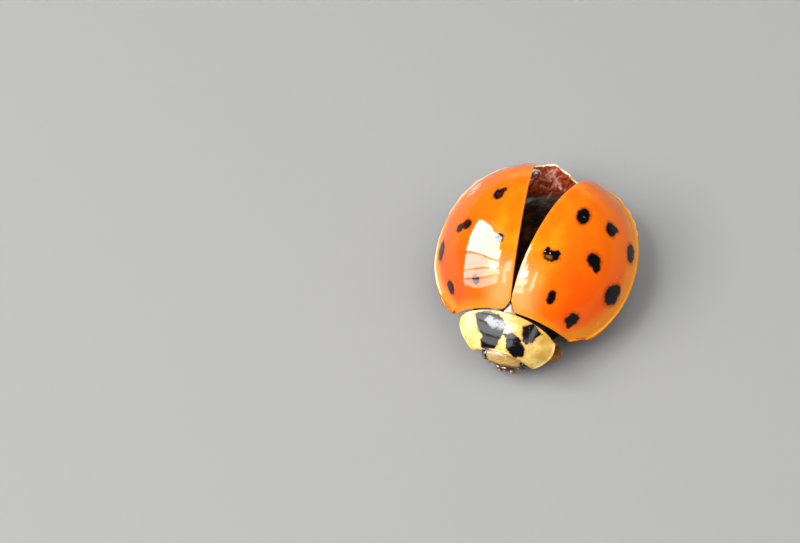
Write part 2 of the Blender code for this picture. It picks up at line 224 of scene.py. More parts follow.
# Links a value that comes from another node, and sets any other.
def setSockets(node, sockets):
    for key, value in sockets.items():
        key = key.replace("_", " ") if isinstance(key, str) else key
        if isinstance(value, bpy.types.NodeSocket):
            node.id_data.links.new(value, node.inputs[key])
        else:
            node.inputs[key].default_value = value


# glow is how much light passes through the surface, how far by colour, and over how many mm.
def startFinish(name, glow=None, **sockets):
    material = bpy.data.materials.new(name)
    material.use_nodes = True
    if glow:
        weight, radius, depth = glow
        sockets.update(Subsurface_Weight=weight, Subsurface_Radius=radius, Subsurface_Scale=depth * mm)
    setSockets(material.node_tree.nodes["Principled BSDF"], {"Coat_IOR": 1.3, **sockets})
    return material, material.node_tree


# Links the colour, and the relief: its depth in mm in the surface, and in the gloss over it.
def endFinish(material, colour, relief=None, depth=0.0, glossDepth=0.0, **sockets):
    sockets["Base_Color"] = colour
    for socket, bump in (("Normal", depth), ("Coat_Normal", glossDepth)):
        if bump:
            sockets[socket] = bumpOf(relief, bump)
    setSockets(material.node_tree.nodes["Principled BSDF"], sockets)
    return material


def addNode(tree, kind, inputs=None, **settings):
    node = tree.nodes.new("ShaderNode" + kind)
    for key, value in settings.items():
        setattr(node, key, value)
    setSockets(node, inputs or {})
    return node


# In these the first value is a node's output, which also tells the tree.
def blendColour(share, first, second):
    inputs = {0: share, 6: first, 7: second}
    return addNode(share.id_data, "Mix", inputs, data_type="RGBA").outputs[2]


# Lays colours over a first one, each where its share says.
def paintOver(colour, *coats):
    for share, coat in coats:
        colour = blendColour(share, colour, coat)
    return colour


def calc(operation, first, second=0.0):
    return addNode(first.id_data, "Math", {0: first, 1: second}, operation=operation).outputs[0]


def times(first, *others):
    for other in others:
        first = calc("MULTIPLY", first, other)
    return first


def ramp(value, low, high, start=0.0, stop=1.0):
    inputs = {"Value": value, "From Min": low, "From Max": high, "To Min": start, "To Max": stop}
    return addNode(value.id_data, "MapRange", inputs, interpolation_type="SMOOTHSTEP").outputs[0]


def stretched(vector, scale):
    return addNode(vector.id_data, "Mapping", {"Vector": vector, "Scale": scale}).outputs[0]


def splitOf(vector):
    return addNode(vector.id_data, "SeparateXYZ", {0: vector}).outputs


def cellsOf(vector, scale):
    return addNode(vector.id_data, "TexVoronoi", {"Vector": vector, "Scale": scale}).outputs["Distance"]


def noiseOf(vector, scale, detail=2.0, roughness=0.5, output="Fac"):
    inputs = {"Vector": vector, "Scale": scale, "Detail": detail, "Roughness": roughness}
    return addNode(vector.id_data, "TexNoise", inputs).outputs[output]


def bumpOf(height, distance):
    return addNode(height.id_data, "Bump", {"Height": height, "Distance": distance * mm}).outputs[0]


def readShare(tree, name, output="Fac"):
    return addNode(tree, "Attribute", attribute_name=name).outputs[output]


def readPlace(tree):
    return readShare(tree, "place", "Vector")


def readObject(tree):
    return addNode(tree, "TexCoord").outputs["Object"]


# The same coordinates pushed about by a noise, so that an outline drawn on them is uneven.
def wobble(vector, scale, amount):
    def combine(operation, inputs):
        return addNode(vector.id_data, "VectorMath", inputs, operation=operation).outputs[0]

    centred = combine("SUBTRACT", {0: noiseOf(vector, scale, output="Color"), 1: (0.5, 0.5, 0.5)})
    return combine("ADD", {0: vector, 1: combine("SCALE", {0: centred, "Scale": amount})})


# Distance to the nearest of some ovals: 0 in the middle of one and 1 at its edge.
def nearestOf(vector, patches):
    tree = vector.id_data
    nearest = None
    for middle, halfSizes, turn in patches:
        inputs = {"Vector": vector, "Location": middle, "Rotation": (0, 0, math.radians(turn)),
                  "Scale": halfSizes}
        mapped = addNode(tree, "Mapping", inputs, vector_type="TEXTURE").outputs[0]
        length = addNode(tree, "VectorMath", {0: mapped}, operation="LENGTH").outputs["Value"]
        nearest = calc("MINIMUM", nearest, length) if nearest else length
    return nearest


# Camera: it looks down from above the ladybird's left shoulder, which is right of the middle.
camera = {
    "azimuth": 34.0, "elevation": 59.4, "roll": -17.0,   # degrees
    "distance": 110.0, "lens": 150.3,
    "aside": 4.48, "above": -0.13,                       # mm from the middle of the view to the trunk
}
azimuth, elevation, roll = (math.radians(camera[key]) for key in ("azimuth", "elevation", "roll"))
levelRight = Vector((math.cos(azimuth), math.sin(azimuth), 0))
levelUp = Vector((
    -math.sin(azimuth) * math.sin(elevation),
    math.cos(azimuth) * math.sin(elevation),
    math.cos(elevation),
))
viewAhead = levelUp.cross(levelRight)
viewRight = levelRight * math.cos(roll) + levelUp * math.sin(roll)
viewUp = levelUp * math.cos(roll) - levelRight * math.sin(roll)
aimedAt = trunk - (viewRight * camera["aside"] + viewUp * camera["above"]) * mm
bpy.ops.object.camera_add(location=aimedAt - viewAhead * camera["distance"] * mm)
cameraObject = bpy.context.object
cameraObject.rotation_euler = Matrix((viewRight, viewUp, -viewAhead)).transposed().to_euler()
cameraObject.data.lens = camera["lens"]
cameraObject.data.clip_start = 0.001
cameraObject.data.clip_end = 10
bpy.context.scene.camera = cameraObject
print("camera set")


# Wing cases: the two halves of one egg-shaped dome, each swung about its front inner corner.
wingCase = {
    "halfWidth": 2.85, "front": 2.82, "rear": 3.51, "crown": 2.65,   # mm
    "fullness": 2.24, "steepness": 0.62,
    "baseY": -1.97, "notchHalfWidth": 0.24, "cornerRound": {"left": 0.065, "right": 0.125},
    "notchDepth": {"left": 0.30, "right": 0.265}, "baseSlant": {"left": -0.09, "right": -0.03},
    "shoulderX": 1.85, "shoulderLength": 0.62, "tipRadius": 0.26, "tipY": 3.502,
    "flange": 0.024, "flangeRise": 0.08, "flangeBlend": 2.5,
    "flangeAtSeam": (0.15, 0.8), "flangeAtTip": (2.2, 3.2), "flangeAtBase": (-2.05, -1.35),
    "wall": 0.10, "rows": 76, "columns": 48,
    "swingOut": {"left": 9.3, "right": 8.4}, "swingUp": {"left": 4.5, "right": 7.2},   # degrees
    "rollIn": {"left": 2.8, "right": 6.9},
    # Middle, half sizes and height of two swellings, then middle, width and height of two beads.
    "shoulderKnob": ((1.72, -1.42), (0.34, 0.38), 0.05),
    "tipKeel": ((0.75, 2.86), (0.55, 0.13), 0.05), "keelBend": 0.25,
    "rimBead": (0.0, 0.25, 0.012), "seamRidge": (0.05, 0.05, 0.012), "unevenness": 0.010,
}
caseFold = {
    "start": 0.26, "end": 0.88, "breadth": 0.46, "leastBreadth": 0.04, "inset": 0.05, "rise": 0.06,
    "wall": 0.05, "rows": 48, "columns": 6,
}


def domeReach(x, y, halfWidth, front, rear):
    return min(1.0, math.hypot(x / halfWidth, y / (front if y < 0 else rear)))


def domeHeight(x, y, halfWidth, front, rear, crown):
    reach = domeReach(x, y, halfWidth, front, rear)
    return crown * (1 - reach ** wingCase["fullness"]) ** wingCase["steepness"]


# The four sizes of a dome, from a dictionary that holds them.
def domeOf(shape):
    return [shape[key] for key in ("halfWidth", "front", "rear", "crown")]


def caseDome(x, y):
    return domeHeight(x, y, *domeOf(wingCase))


def caseReach(x, y):
    return domeReach(x, y, *domeOf(wingCase)[:3])


def caseMargin(y):
    length = wingCase["front" if y < 0 else "rear"]
    margin = wingCase["halfWidth"] * math.sqrt(max(0.0, 1 - (y / length) ** 2))
    behindBase = (y - wingCase["baseY"]) / wingCase["shoulderLength"]
    if behindBase < 1:
        margin = mix(wingCase["shoulderX"], margin, math.sqrt(1 - (1 - max(0.0, behindBase)) ** 2))
    return margin


# The seam's edge curves away from the middle at the tip.
def seamOffset(y):
    radius = wingCase["tipRadius"]
    beyond = y - (wingCase["rear"] - radius)
    return radius - math.sqrt(max(0.0, radius ** 2 - beyond ** 2)) if beyond > 0 else 0.0


def caseSpot(along, across, side):
    case = wingCase
    y = mix(case["baseY"], case["tipY"], eased(along))
    x = mix(seamOffset(y), caseMargin(y), math.sin(across * math.pi / 2))
    notch = 1 - (1 - min(1.0, x / case["notchHalfWidth"])) ** 1.5
    base = case["notchDepth"][side] * notch + case["baseSlant"][side] * x
    y -= (1 - along) ** 3 * base - case["cornerRound"][side] * (1 - along) ** 7 * across ** 6
    fade = mix(1.0, smoothStep(x, *case["flangeAtSeam"]), smoothStep(y, *case["flangeAtTip"]))
    fade *= smoothStep(y, *case["flangeAtBase"])
    narrow = case["flange"] * (0.15 + 0.85 * fade)
    z = domeHeight(x, y, case["halfWidth"] * (1 - narrow), case["front"] * (1 - narrow / 2),
                   case["rear"] * (1 - narrow), case["crown"])
    outward = (1 - caseReach(x, y)) / narrow
    flange = case["flangeRise"] * (0.25 + 0.75 * min(1.0, outward)) * (0.3 + 0.7 * fade)
    z = (z ** case["flangeBlend"] + flange ** case["flangeBlend"]) ** (1 / case["flangeBlend"])
    z += hump(outward, *case["rimBead"]) * fade
    z += swelling(x, y, *case["shoulderKnob"])
    z += swelling(x, y + case["keelBend"] * x * x, *case["tipKeel"])
    z += hump(x, *case["seamRidge"])
    return x, y, z + case["unevenness"] * noise.noise(Vector((x, y, z)) * 1.4)


# The fold turned in under the rim, broad at the shoulder and running out before the tip.
def foldSpot(along, inward, side):
    fold = caseFold
    breadth = fold["breadth"] * (1 - along ** 2) ** 0.5 + fold["leastBreadth"]
    shrink = 1 - breadth * inward / wingCase["halfWidth"]
    x, y, z = caseSpot(mix(fold["start"], fold["end"], along), 1, side)
    height = max(0.02, z - fold["inset"]) + fold["rise"] * inward
    return (x - fold["inset"]) * shrink, y * shrink, height


# Swings a wing case open about the front end of the seam.
def caseSwing(side):
    sign = signOf[side]
    hinge = Matrix.Translation((sign * 0.1, wingCase["baseY"], caseDome(0, wingCase["baseY"])))
    turn = (
        Matrix.Rotation(math.radians(-sign * wingCase["swingOut"][side]), 4, "Z")
        @ Matrix.Rotation(math.radians(wingCase["swingUp"][side]), 4, "X")
        @ Matrix.Rotation(math.radians(-sign * wingCase["rollIn"][side]), 4, "Y")
    )
    return hinge @ turn @ hinge.inverted()


# Dark spots: mm from the seam, mm behind the crown, half width, half length, turn in degrees.
caseSpots = {
    "left": [
        (1.24, -1.52, 0.13, 0.34, 4), (1.23, -1.38, 0.12, 0.18, 0), (1.92, -1.62, 0.22, 0.25, -20),
        (1.86, -1.80, 0.10, 0.12, 0), (0.80, -0.33, 0.27, 0.19, 8), (0.62, -0.24, 0.10, 0.12, 0),
        (0.94, -0.20, 0.12, 0.11, 0), (1.94, 0.28, 0.27, 0.24, 30), (2.08, 0.12, 0.16, 0.16, 20),
        (2.66, -0.24, 0.35, 0.34, 0), (2.70, -0.02, 0.24, 0.24, 0),
        (1.00, 1.50, 0.23, 0.40, 0), (1.82, 1.66, 0.22, 0.28, 12), (1.90, 1.76, 0.15, 0.14, 0),
        (2.47, 1.50, 0.26, 0.37, 0),
    ],
    "right": [
        (1.24, -1.48, 0.14, 0.17, 0), (2.10, -1.53, 0.20, 0.27, 0), (0.64, -0.20, 0.15, 0.15, 0),
        (1.84, 0.36, 0.24, 0.18, 10), (2.06, 0.28, 0.17, 0.17, 20), (2.66, -0.25, 0.30, 0.34, 0),
        (0.93, 1.46, 0.20, 0.24, -12), (0.80, 1.64, 0.13, 0.10, -20),
    ],
}
# Paler hearts of two of the spots, and a scuffed place near the hind end, in the same way.
spotHearts = {"left": [(0.74, -0.41, 0.14, 0.07, 0), (1.04, 1.45, 0.045, 0.06, 0)], "right": []}
scuffs = {"left": [], "right": [(1.88, 1.95, 0.30, 0.34, 20)]}
# The pale orange below, for the front of the seam, is a painted sheen near the highlights.
shellColours = {
    "orange": (0.85, 0.150, 0.002, 1), "deep": (0.82, 0.090, 0.001, 1), "light": (0.88, 0.25, 0.005, 1),
    "margin": (0.86, 0.29, 0.015, 1), "paintedSheen": (0.92, 0.35, 0.13, 1), "halo": (0.30, 0.04, 0.001, 1),
    "black": (0.003, 0.0025, 0.0025, 1), "brown": (0.060, 0.012, 0.002, 1),
    "heart": (0.42, 0.16, 0.02, 1), "dust": (0.95, 0.60, 0.38, 1), "scuff": (0.88, 0.50, 0.38, 1),
    "inside": (0.36, 0.07, 0.010, 1),
}


def onDome(spots):
    return [
        ((seamX, spotY, caseDome(seamX, spotY)), (halfWidth, halfLength, halfWidth), turn)
        for seamX, spotY, halfWidth, halfLength, turn in spots
    ]


def caseFinish(side):
    colours = shellColours
    material, tree = startFinish(
        "orangeShell_" + side, Specular_IOR_Level=0.0, Coat_Weight=1.0, Coat_Roughness=0.05,
        glow=(0.12, (1.0, 0.22, 0.04), 0.20),
    )
    place = readPlace(tree)
    x, y, z = splitOf(place)
    blotch = noiseOf(place, 0.9, 3.0)
    fine = noiseOf(place, 5.0, 3.0, 0.6)

    # The orange deepens towards the shoulder and pales to the seam, the tip and the rim; the pale orange
    # towards the front of the seam is a painted sheen near the highlights.
    deep = times(ramp(y, 1.8, -0.8), ramp(x, 0.5, 1.6), ramp(blotch, 0.2, 0.6, 0.35, 1.0))
    colour = paintOver(
        blendColour(deep, colours["orange"], colours["deep"]),
        (times(ramp(blotch, 0.42, 0.66), ramp(x, 1.6, 0.4), 0.8), colours["light"]),
        (times(ramp(y, -0.4, -1.7), ramp(x, 1.15, 0.25), 0.7), colours["paintedSheen"]),
        (times(readShare(tree, "rimShare"), ramp(fine, 0.1, 0.6, 0.7, 1.0)), colours["margin"]),
    )

    # Spots, each with a soft brown edge.
    near = nearestOf(wobble(place, 8.0, 0.15), onDome(caseSpots[side]))
    dark = colours["black"]
    if side == "right":
        dark = blendColour(ramp(fine, 0.4, 0.7), colours["black"], colours["brown"])
    halo = ramp(near, 1.5, 1.0, 0.0, 0.6)
    colour = paintOver(colour, (halo, colours["halo"]), (ramp(near, 1.12, 0.86), dark))
    if spotHearts[side]:
        heart = nearestOf(wobble(place, 9.0, 0.16), onDome(spotHearts[side]))
        colour = blendColour(ramp(heart, 1.4, 0.4, 0.0, 0.48), colour, colours["heart"])
    if scuffs[side]:
        worn = nearestOf(wobble(place, 5.0, 0.30), onDome(scuffs[side]))
        streaks = noiseOf(stretched(place, (3, 9, 5)), 1.0, 3.0)
        bare = times(ramp(worn, 1.25, 0.75), ramp(streaks, 0.42, 0.56, 0.1, 0.9))
        colour = blendColour(bare, colour, colours["scuff"])
    dust = times(ramp(cellsOf(place, 2.9), 0.075, 0.045), ramp(blotch, 0.52, 0.60), 0.75)
    inner = times(readShare(tree, "innerShare"), 0.8)
    colour = paintOver(colour, (dust, colours["dust"]), (inner, colours["inside"]))

    # Fine punctures and a faint unevenness, in the colour coat and in the gloss over it.
    pits = times(ramp(cellsOf(place, 9.0), 0.0, 0.26), 0.35)
    height = calc("ADD", pits, noiseOf(place, 2.2))
    return endFinish(material, colour, height, 0.010, 0.006, Roughness=ramp(fine, 0.3, 0.75, 0.22, 0.36))


def rimShare(place):
    lateral = (1 - caseReach(place.x, place.y)) * wingCase["halfWidth"]
    base = place.y - wingCase["baseY"] - 0.06 * place.x
    base += 0.28 * min(1.0, place.x / wingCase["notchHalfWidth"])
    seamBand = 0.12 + 0.14 * smoothStep(place.y, 0.5, -1.6)
    return max(
        1 - smoothStep(lateral, 0.05, 0.26), 0.75 * (1 - smoothStep(base, 0.02, 0.28)),
        0.6 * (1 - smoothStep(place.x, 0.02, seamBand)),
    )


for side in signOf:
    shell = addGrid("caseShell", wingCase["rows"], wingCase["columns"],
                    lambda along, across: caseSpot(along, across, side))
    keepPlaces(shell, rimShare=rimShare)
    thicken(shell, wingCase["wall"])
    fold = addGrid("caseFold", caseFold["rows"], caseFold["columns"],
                   lambda along, inward: foldSpot(along, inward, side))
    keepPlaces(fold, rimShare=lambda place: 1.0, innerShare=lambda place: 0.3)
    applyModifier(fold, "SOLIDIFY", thickness=caseFold["wall"], offset=0)
    shell = joinPieces([shell, fold], "wingCase_" + side)
    roundOff(shell)
    toFrame(shell, caseSwing(side), side == "right")
    finishPiece(shell, caseFinish(side), "wing_case", "elytron_" + side)
print("wing cases made")


# Pronotum: the shield over the front of the trunk, turned a little as a whole.
shield = {
    "rearWidth": 3.30, "width": 3.34, "frontWidth": 2.04, "widest": 0.2, "sidePower": 2.1,
    "rearY": -2.33, "frontY": -3.47, "rearSweep": 0.33, "frontDip": 0.05,
    "rearZ": 1.56, "frontZ": 0.80, "rearSideZ": 0.99, "frontSideZ": 0.04, "arch": 0.36,
    "corner": 0.055, "fallHalf": 1.04, "wall": 0.13, "rows": 84, "columns": 50,
    # The raised edges with a groove behind each: middle and width as shares, height in mm.
    "sideBead": ((1.0, 0.02, 0.030), (0.95, 0.03, -0.025)),
    "frontBead": ((1.0, 0.03, 0.012), (0.94, 0.03, -0.012)), "unevenness": 0.010,
    "turn": -4.2, "middle": (0.0, -2.8, 0.0), "shift": (0.05, 0.0, 0.0),
}


def shieldHalfWidth(forward):
    if forward < shield["widest"]:
        loss = 1 - shield["rearWidth"] / shield["width"]
        return shield["width"] / 2 * (1 - loss * (1 - forward / shield["widest"]) ** 2)
    loss = 1 - shield["frontWidth"] / shield["width"]
    beyond = (forward - shield["widest"]) / (1 - shield["widest"])
    return shield["width"] / 2 * (1 - loss * beyond ** shield["sidePower"])


def shieldSpot(across, forward):
    sideways = math.sin((across - 0.5) * math.pi)
    fromMiddle = 2 * forward - 1
    reach = (fromMiddle * (1 - shield["corner"] * abs(sideways) ** 9) + 1) / 2
    sideways *= 1 - shield["corner"] * abs(fromMiddle) ** 9
    half = shieldHalfWidth(reach)
    x = sideways * half
    rearY = shield["rearY"] - shield["rearSweep"] * (abs(x) * 2 / shield["width"]) ** 2
    frontY = shield["frontY"] + shield["frontDip"] * hump(x, 0.0, 0.7)
    y = mix(rearY, frontY, reach)
    ridge = mix(shield["rearZ"], shield["frontZ"], reach) + shield["arch"] * reach * (1 - reach)
    fall = (1 - (abs(x) / (shield["fallHalf"] * half)) ** 2.4) ** 0.6
    edge = mix(shield["rearSideZ"], shield["frontSideZ"], reach)
    z = mix(edge, ridge, fall)
    z += sum(hump(abs(sideways), *bead) for bead in shield["sideBead"])
    z += sum(hump(reach, *bead) for bead in shield["frontBead"])
    return x, y, z + shield["unevenness"] * noise.noise(Vector((x, y, 4)) * 2.0)


# Outlines of the dark marks, and of the pale places inside them, in mm seen from above.
shieldMarks = [
    [(-1.18, -2.60), (-0.92, -3.00), (-0.72, -3.13), (-0.77, -3.24), (-0.68, -3.40), (-0.50, -3.44),
     (-0.26, -3.38), (-0.18, -3.21), (-0.09, -3.00), (-0.03, -2.74), (-0.13, -2.58), (-0.40, -2.45),
     (-0.70, -2.42)],
    [(0.12, -2.86), (0.36, -2.84), (0.58, -2.95), (0.74, -3.16), (0.74, -3.29), (0.61, -3.38),
     (0.37, -3.38), (0.18, -3.32), (0.09, -3.11)],
    [(0.50, -2.57), (0.81, -2.43), (1.20, -2.59), (1.04, -2.74), (0.97, -2.91), (0.75, -2.99),
     (0.62, -2.96)],
    [(0.01, -2.90), (0.18, -2.94), (0.13, -3.02), (-0.07, -2.96)],
]
shieldGaps = [[(-0.10, -3.05), (0.16, -3.39), (-0.17, -3.35)]]
# The brownish yellow below is painted shade for the side of the shield away from the light.
shieldColours = {
    "cream": (0.80, 0.54, 0.12, 1), "pale": (0.88, 0.72, 0.27, 1), "paintedShadeOchre": (0.38, 0.19, 0.025, 1),
    "amber": (0.70, 0.34, 0.05, 1), "black": (0.004, 0.004, 0.005, 1), "rust": (0.40, 0.13, 0.015, 1),
    "inside": (0.20, 0.08, 0.02, 1),
}


def inkDepth(place):
    depth = max(depthInside(place.x, place.y, outline) for outline in shieldMarks)
    for gap in shieldGaps:
        depth = min(depth, -depthInside(place.x, place.y, gap))
    return depth


def shieldFinish():
    colours = shieldColours
    material, tree = startFinish(
        "creamShield", Roughness=0.35, Specular_IOR_Level=0.0, Coat_Weight=0.45, Coat_Roughness=0.08,
        glow=(0.15, (1.0, 0.6, 0.25), 0.14),
    )
    place = readPlace(tree)
    x, y, z = splitOf(place)
    cloud = noiseOf(place, 1.6, 3.0)
    grain = noiseOf(place, 9.0, 3.0, 0.65)
    uneven = times(calc("SUBTRACT", noiseOf(place, 6.0, 3.0, 0.6), 0.5), 0.16)
    ink = calc("ADD", readShare(tree, "inkDepth"), uneven)
    fromMiddle = calc("ABSOLUTE", calc("ADD", x, -0.22))
    colour = paintOver(
        blendColour(ramp(cloud, 0.35, 0.62), colours["cream"], colours["pale"]),
        # Painted shade: the ladybird's left side of the shield (x above 0) darkens to a brownish yellow,
        # cloudy in places.
        (times(ramp(x, 0.1, 1.0), ramp(cloud, 0.7, 0.3, 0.5, 1.0), 0.9), colours["paintedShadeOchre"]),
        (times(ramp(fromMiddle, 0.42, 0.1), ramp(y, -3.0, -2.6), 0.8), colours["amber"]),
        (times(ramp(grain, 0.58, 0.70), ramp(y, -2.7, -3.1, 0.15, 0.8)), colours["rust"]),
        (times(ramp(y, -3.36, -3.44), ramp(grain, 0.25, 0.6, 0.3, 0.9)), colours["rust"]),
        (ramp(ink, -0.07, 0.0, 0.0, 0.6), colours["rust"]),
        (ramp(ink, -0.018, 0.018), colours["black"]),
        (readShare(tree, "innerShare"), colours["inside"]),
    )
    height = calc("ADD", times(ramp(cellsOf(place, 11.0), 0.0, 0.28), 0.5), cloud)
    return endFinish(material, colour, height, 0.010, 0.007)


pronotum = addGrid("shieldPlate", shield["rows"], shield["columns"], shieldSpot)
keepPlaces(pronotum, inkDepth=inkDepth)
thicken(pronotum, shield["wall"], use_even_offset=True)
roundOff(pronotum)
shieldMiddle = Vector(shield["middle"])
toFrame(pronotum, (
    Matrix.Translation(shieldMiddle + Vector(shield["shift"]))
    @ Matrix.Rotation(math.radians(shield["turn"]), 4, "Z")
    @ Matrix.Translation(-shieldMiddle)
))
finishPiece(pronotum, shieldFinish(), "pronotum", "pronotum")
print("pronotum made")


# Scutellum: the small triangle between the bases of the wing cases.
plate = {
    "halfWidth": 0.21, "frontY": -2.27, "rearY": -2.01, "frontZ": 1.43, "rearZ": 1.57, "wall": 0.20,
}


def scutellumTop(along, across):
    sideways = 2 * across - 1
    width = plate["halfWidth"] * (1 - along ** 1.3) + 0.012
    z = mix(plate["frontZ"], plate["rearZ"], along)
    z += 0.05 * (1 - sideways ** 2) - 0.02 * hump(abs(sideways), 0.8, 0.15)
    return sideways * width, mix(plate["frontY"], plate["rearY"], along), z


def scutellumUnder(along, across):
    x, y, z = scutellumTop(along, across)
    return x, y, z - plate["wall"]


# Shell in one colour with fine pits, and a second colour where a noise thins it.
def plainFinish(name, colour, second, gloss=0.3, bump=0.012, scale=6.0, coat=0.5, **sockets):
    material, tree = startFinish(
        name, Specular_IOR_Level=0.2, Coat_Weight=coat, Coat_Roughness=0.12, **sockets,
    )
    place = readObject(tree)
    cloud = noiseOf(place, scale * 250, 3.0)
    fine = noiseOf(place, scale * 1500, 3.0, 0.65)
    height = calc("ADD", times(ramp(cellsOf(place, scale * 1600), 0.0, 0.3), 0.5), fine)
    colour = blendColour(ramp(cloud, 0.42, 0.72), colour, second)
    roughness = ramp(fine, 0.3, 0.7, gloss - 0.05, gloss + 0.15)
    return endFinish(material, colour, height, bump, Roughness=roughness)


blackShell = plainFinish("blackShell", (0.010, 0.008, 0.008, 1), (0.030, 0.014, 0.008, 1))
# Pale pinkish, paler than the plate's own orange-brown: partly a painted sheen.
scutellumShell = plainFinish(
    "scutellumShell", (0.62, 0.36, 0.27, 1), (0.24, 0.09, 0.05, 1), bump=0.02, scale=9.0,
)
mouthShell = plainFinish("mouthShell", (0.050, 0.018, 0.007, 1), (0.16, 0.055, 0.016, 1), 0.32, 0.008)
feelerShell = plainFinish(
    "feelerShell", (0.36, 0.15, 0.035, 1), (0.22, 0.075, 0.015, 1), 0.36, 0.006, 9.0,
)
legShell = plainFinish(
    "legShell", (0.40, 0.16, 0.035, 1), (0.20, 0.065, 0.012, 1), 0.32, 0.008, 7.0,
    glow=(0.25, (1.0, 0.45, 0.15), 0.06),
)
padHair = plainFinish("padHair", (0.46, 0.26, 0.09, 1), (0.34, 0.16, 0.05, 1), 0.7, 0.020, 16.0, 0.0)
clawHorn = plainFinish("clawHorn", (0.10, 0.030, 0.008, 1), (0.040, 0.012, 0.005, 1), 0.22, 0.003)


# A solid plate between its upper and under sides.
def makePlate(name, rows, columns, sidesAt, finish, slotName, node, rounded=True, sharpAngle=60):
    piece = addGrid(name, rows, columns, *sidesAt)
    mergePoints(piece, turnOut=True)
    if rounded:
        roundOff(piece)
    toFrame(piece)
    finishPiece(piece, finish, slotName, node, sharpAngle=sharpAngle)


makePlate("scutellumPlate", 14, 12, (scutellumTop, scutellumUnder), scutellumShell, "dark_shell",
          "scutellum")
print("scutellum made")


# Trunk: the hind part of the thorax and the abdomen, with the collar in front of them.
body = {
    "halfWidth": 2.04, "front": 2.72, "rear": 2.92, "crown": 1.22, "floorZ": 0.02,   # mm
    "keelDepth": 0.36, "keelHalfWidth": 0.52, "keelEndY": 0.1, "bellyDepth": 0.20, "hipX": 0.60,
    "legEndY": 1.9, "thorax": (-2.20, -0.24), "abdomen": (-0.27, 2.70),
    "seams": (0.50, 0.98, 1.42, 1.82, 2.20, 2.50), "seamDepth": 0.04, "seamBend": 0.03,
    "groove": (0.0, 0.03, 0.035), "crossGroove": (-1.42, 0.04, 0.03), "grooveBend": 0.1,
    "tuck": 0.025, "tuckY": (-0.34, -0.27), "roundFrom": 2.05, "roundLength": 0.66,
}
# The height of the folded flying wings over the trunk.
wingFold = {"halfWidth": 2.28, "front": 2.45, "rear": 3.05, "crown": 1.78}
wingFoldTail = {"z": 0.54, "halfWidth": 1.5}
trunkBelowFold = 0.56   # mm


def foldHeight(x, y):
    z = domeHeight(x, y, *domeOf(wingFold))
    tail = wingFoldTail["z"] / (1 + (x / wingFoldTail["halfWidth"]) ** 2)
    return (z ** 4 + tail ** 4) ** 0.25


def fallingStep(value, place, steepness):
    return 1 / (1 + math.exp((value - place) * steepness))


def keelDepth(x):
    return body["keelDepth"] * math.exp(-((x / body["keelHalfWidth"]) ** 4))


def trunkLength(y):
    return body["front" if y < 0 else "rear"]


def trunkHalfWidth(y):
    return body["halfWidth"] * (1 - (abs(y) / trunkLength(y)) ** 2.2) ** 0.5


# Each ring of the abdomen rises a little towards its rear edge, which laps over the next ring.
def seamStep(y):
    edges = (body["abdomen"][0], *body["seams"], body["abdomen"][1])
    for start, end in zip(edges, edges[1:]):
        if y <= end:
            reach = (y - start) / (end - start)
            return body["seamDepth"] * (0.5 * reach - smoothStep(reach, 0.90, 1.0))
    return 0.0


def trunkUnder(x, y, ringed):
    front = fallingStep(y, body["keelEndY"], 5)
    belly = body["bellyDepth"] * (1 - min(1.0, abs(x) / body["halfWidth"]) ** 2)
    behindLegs = smoothStep(y, body["legEndY"] - 0.5, body["legEndY"] + 0.3)
    belly *= mix(fallingStep(abs(x), body["hipX"], 7), 1.0, behindLegs)
    z = body["floorZ"] - (front * keelDepth(x) + (1 - front) * belly)
    if ringed:
        return z - seamStep(y + body["seamBend"] * x * x)
    return z + hump(x, *body["groove"]) + hump(y - body["grooveBend"] * abs(x), *body["crossGroove"])


# The thorax ends a hair inside the first ring of the abdomen.
def trunkPlates(span, ringed):
    def stepAt(y):
        return seamStep(y) if ringed else 0.0

    def tuckAt(y):
        return 0.0 if ringed else body["tuck"] * smoothStep(y, *body["tuckY"])

    def closing(y):
        beyond = max(0.0, (y - body["roundFrom"]) / body["roundLength"])
        return (1 - min(1.0, beyond) ** 2.4) ** 0.5

    def spotOf(along, across):
        y = mix(*span, along)
        half = trunkHalfWidth(y) * closing(y) - tuckAt(y) + 0.6 * stepAt(y)
        return half * math.sin((across - 0.5) * math.pi), y, half

    def under(along, across):
        x, y, half = spotOf(along, across)
        return x, y, mix(body["floorZ"] + 0.1, trunkUnder(x, y, ringed), closing(y)) + tuckAt(y)

    def top(along, across):
        x, y, half = spotOf(along, across)
        fall = max(0.0, 1 - (abs(x) / half) ** 2.2) ** 0.5
        ridge = body["crown"] * (1 - (abs(y) / (1.01 * trunkLength(y))) ** 2.6) ** 0.6 * closing(y)
        z = min(0.12 + ridge * fall, foldHeight(x, y) - trunkBelowFold) + stepAt(y)
        return x, y, max(z, body["floorZ"] + 0.05) - tuckAt(y)

    return top, under


# Dark in the middle and orange-brown towards the sides, as the abdomen is below.
def bellyFinish():
    material, tree = startFinish(
        "bellyShell", Roughness=0.5, Specular_IOR_Level=0.1, Coat_Weight=0.15, Coat_Roughness=0.25,
        Coat_IOR=1.5,
    )
    inputs = {"Vector": readObject(tree), "Location": trunk, "Scale": (mm, mm, mm)}
    centred = addNode(tree, "Mapping", inputs, vector_type="TEXTURE").outputs[0]
    x, y, z = splitOf(wobble(centred, 3.0, 0.3))
    aside = ramp(calc("ABSOLUTE", x), 0.45, 1.3)
    below = times(aside, ramp(z, 0.35, 0.15))
    colour = blendColour(below, (0.020, 0.010, 0.007, 1), (0.36, 0.11, 0.018, 1))
    return endFinish(material, colour, noiseOf(centred, 12.0, 3.0, 0.6), 0.012)


for name, ringed, rows, finish, slotName in (
    ("thorax", False, 46, blackShell, "dark_shell"), ("abdomen", True, 90, bellyFinish(), "belly"),
):
    makePlate(name + "Shell", rows, 44, trunkPlates(body[name], ringed), finish, slotName, name,
              rounded=False, sharpAngle=35)

